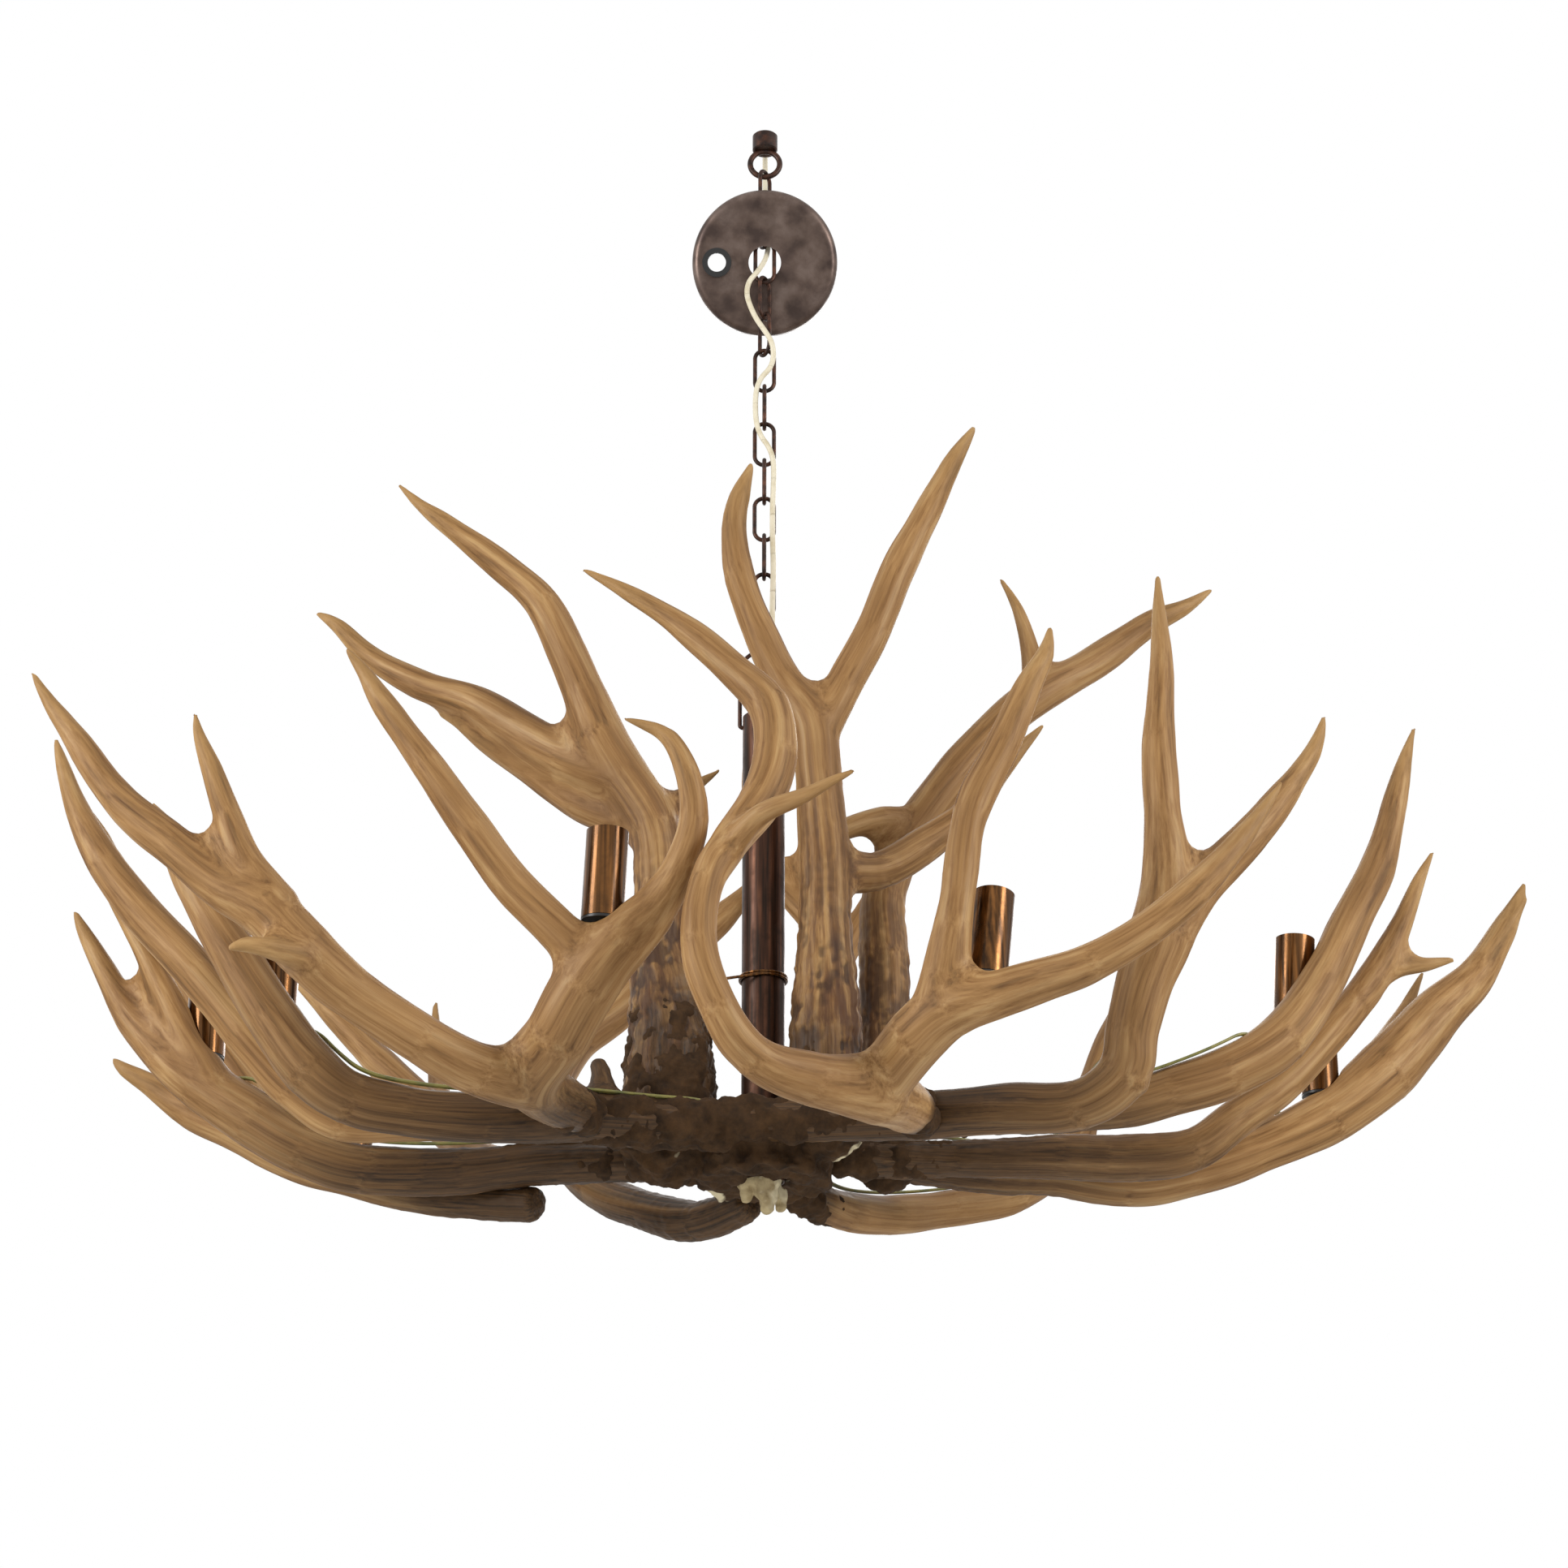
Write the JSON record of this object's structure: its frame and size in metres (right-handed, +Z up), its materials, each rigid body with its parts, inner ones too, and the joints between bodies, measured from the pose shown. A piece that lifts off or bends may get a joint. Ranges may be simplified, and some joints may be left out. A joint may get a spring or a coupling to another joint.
{
  "type": "antler chandelier",
  "caption": "Chandelier of forked antlers in a low ring and upright round a copper stem, with copper candle sleeves, on a link chain with a slipped canopy.",
  "frame": {"origin": "middle of the ceiling loop's threaded mouth", "axes": "+Z up along the chain and stem, +X to the right as pictured, +Y to the back"},
  "size_m": [1.2341, 0.7886, 0.9919],
  "materials": {
    "chain": "brown baked enamel",
    "canopy": "antique bronze",
    "bushing": "black",
    "copper": "worn copper plate",
    "antler": "shed antler, streaked tan",
    "putty": "cream filler",
    "core": "dark stained filler",
    "socket": "black phenolic",
    "stud": "zinc plated",
    "cord": "cream PVC lead",
    "flex": "clear gold twin flex"
  },
  "bodies": {
    "ceiling_loop": {"ceiling_loop": "chain", "supply_cord": "cord"},
    "chain_link_01": {"chain_link_01": "chain"},
    "chain_link_02": {"chain_link_02": "chain"},
    "chain_link_03": {"chain_link_03": "chain"},
    "chain_link_04": {"chain_link_04": "chain"},
    "chain_link_05": {"chain_link_05": "chain"},
    "chain_link_06": {"chain_link_06": "chain"},
    "chain_link_07": {"chain_link_07": "chain"},
    "chain_link_08": {"chain_link_08": "chain"},
    "chain_link_09": {"chain_link_09": "chain"},
    "chain_link_10": {"chain_link_10": "chain"},
    "chain_link_11": {"chain_link_11": "chain"},
    "chain_link_12": {"chain_link_12": "chain"},
    "chain_link_13": {"chain_link_13": "chain"},
    "canopy": {"canopy": "canopy", "canopy_bushing": "bushing"},
    "bail": {"bail": "chain"},
    "fixture": {"stem_pipe": "copper", "tie_wire": "copper", "hub_core": "core", "hub_putty": "putty", "socket_studs": "stud", "branch_cords": "flex", "antler_front_right": "antler", "antler_front_left": "antler", "antler_right_1": "antler", "antler_right_2": "antler", "antler_right_3": "antler", "antler_right_4": "antler", "antler_rear_right": "antler", "antler_left_1": "antler", "antler_left_2": "antler", "antler_left_3": "antler", "antler_left_4": "antler", "antler_rear_left": "antler", "antler_rear_low_left": "antler", "antler_rear_centre": "antler", "antler_upright_front": "antler", "antler_upright_left": "antler", "antler_upright_rear": "antler", "lamp_socket_1": "socket", "lamp_socket_2": "socket", "lamp_socket_3": "socket", "lamp_socket_4": "socket", "lamp_socket_5": "socket", "lamp_socket_6": "socket", "lamp_socket_7": "socket", "lamp_socket_8": "socket"},
    "candle_sleeve_1": {"candle_sleeve_1": "copper"},
    "candle_sleeve_2": {"candle_sleeve_2": "copper"},
    "candle_sleeve_3": {"candle_sleeve_3": "copper"},
    "candle_sleeve_4": {"candle_sleeve_4": "copper"},
    "candle_sleeve_5": {"candle_sleeve_5": "copper"},
    "candle_sleeve_6": {"candle_sleeve_6": "copper"},
    "candle_sleeve_7": {"candle_sleeve_7": "copper"},
    "candle_sleeve_8": {"candle_sleeve_8": "copper"}
  },
  "joints": [
    {"name": "link_01_swing", "type": "hinge", "parent": "ceiling_loop", "child": "chain_link_01", "pos_m": [0, 0, -0.042], "axis": [1, 0, 0], "range_deg": [-6, 6], "deforming": ["supply_cord"]},
    {"name": "link_02_swing", "type": "hinge", "parent": "chain_link_01", "child": "chain_link_02", "pos_m": [0, 0, -0.077], "axis": [0.5, 0.866, 0], "range_deg": [-6, 6]},
    {"name": "link_03_swing", "type": "hinge", "parent": "chain_link_02", "child": "chain_link_03", "pos_m": [0, 0, -0.1127], "axis": [-0.5, 0.866, 0], "range_deg": [-6, 6]},
    {"name": "link_04_swing", "type": "hinge", "parent": "chain_link_03", "child": "chain_link_04", "pos_m": [0, 0, -0.1484], "axis": [1, 0, 0], "range_deg": [-6, 6]},
    {"name": "link_05_swing", "type": "hinge", "parent": "chain_link_04", "child": "chain_link_05", "pos_m": [0, 0, -0.1841], "axis": [0.5, 0.866, 0], "range_deg": [-6, 6]},
    {"name": "link_06_swing", "type": "hinge", "parent": "chain_link_05", "child": "chain_link_06", "pos_m": [0, 0, -0.2198], "axis": [-0.5, 0.866, 0], "range_deg": [-6, 6]},
    {"name": "link_07_swing", "type": "hinge", "parent": "chain_link_06", "child": "chain_link_07", "pos_m": [0, 0, -0.2555], "axis": [1, 0, 0], "range_deg": [-6, 6]},
    {"name": "link_08_swing", "type": "hinge", "parent": "chain_link_07", "child": "chain_link_08", "pos_m": [0, 0, -0.2912], "axis": [0, 1, 0], "range_deg": [-6, 6]},
    {"name": "link_09_swing", "type": "hinge", "parent": "chain_link_08", "child": "chain_link_09", "pos_m": [0, 0, -0.3269], "axis": [-1, 0, 0], "range_deg": [-6, 6]},
    {"name": "link_10_swing", "type": "hinge", "parent": "chain_link_09", "child": "chain_link_10", "pos_m": [0, 0, -0.3626], "axis": [0, -1, 0], "range_deg": [-6, 6]},
    {"name": "link_11_swing", "type": "hinge", "parent": "chain_link_10", "child": "chain_link_11", "pos_m": [0, 0, -0.3983], "axis": [1, 0, 0], "range_deg": [-6, 6]},
    {"name": "link_12_swing", "type": "hinge", "parent": "chain_link_11", "child": "chain_link_12", "pos_m": [0, 0, -0.434], "axis": [0, 1, 0], "range_deg": [-6, 6]},
    {"name": "link_13_swing", "type": "hinge", "parent": "chain_link_12", "child": "chain_link_13", "pos_m": [0, 0, -0.4697], "axis": [-1, 0, 0], "range_deg": [-6, 6]},
    {"name": "canopy_tilt", "type": "hinge", "parent": "chain_link_03", "child": "canopy", "pos_m": [0, 0, -0.1286], "axis": [1, 0, 0], "range_deg": [0, 62]},
    {"name": "bail_swing", "type": "hinge", "parent": "chain_link_13", "child": "bail", "pos_m": [0, 0, -0.5054], "axis": [0, 1, 0], "range_deg": [-6, 6]},
    {"name": "fixture_swing", "type": "hinge", "parent": "bail", "child": "fixture", "pos_m": [0, 0, -0.57155], "axis": [1, 0, 0], "range_deg": [-5, 5]},
    {"name": "sleeve_1_slide", "type": "slide", "parent": "fixture", "child": "candle_sleeve_1", "axis": [0.0419, 0, 0.9991], "range_m": [0, 0.05]},
    {"name": "sleeve_2_slide", "type": "slide", "parent": "fixture", "child": "candle_sleeve_2", "axis": [0.1045, 0.1392, 0.9847], "range_m": [0, 0.05]},
    {"name": "sleeve_3_slide", "type": "slide", "parent": "fixture", "child": "candle_sleeve_3", "axis": [0.0698, 0, 0.9976], "range_m": [0, 0.05]},
    {"name": "sleeve_4_slide", "type": "slide", "parent": "fixture", "child": "candle_sleeve_4", "axis": [0, 0, 1], "range_m": [0, 0.05]},
    {"name": "sleeve_5_slide", "type": "slide", "parent": "fixture", "child": "candle_sleeve_5", "axis": [0.0175, 0, 0.9998], "range_m": [0, 0.05]},
    {"name": "sleeve_6_slide", "type": "slide", "parent": "fixture", "child": "candle_sleeve_6", "axis": [0, 0, 1], "range_m": [0, 0.05]},
    {"name": "sleeve_7_slide", "type": "slide", "parent": "fixture", "child": "candle_sleeve_7", "axis": [0, 0, 1], "range_m": [0, 0.05]},
    {"name": "sleeve_8_slide", "type": "slide", "parent": "fixture", "child": "candle_sleeve_8", "axis": [0, 0, 1], "range_m": [0, 0.05]}
  ]
}
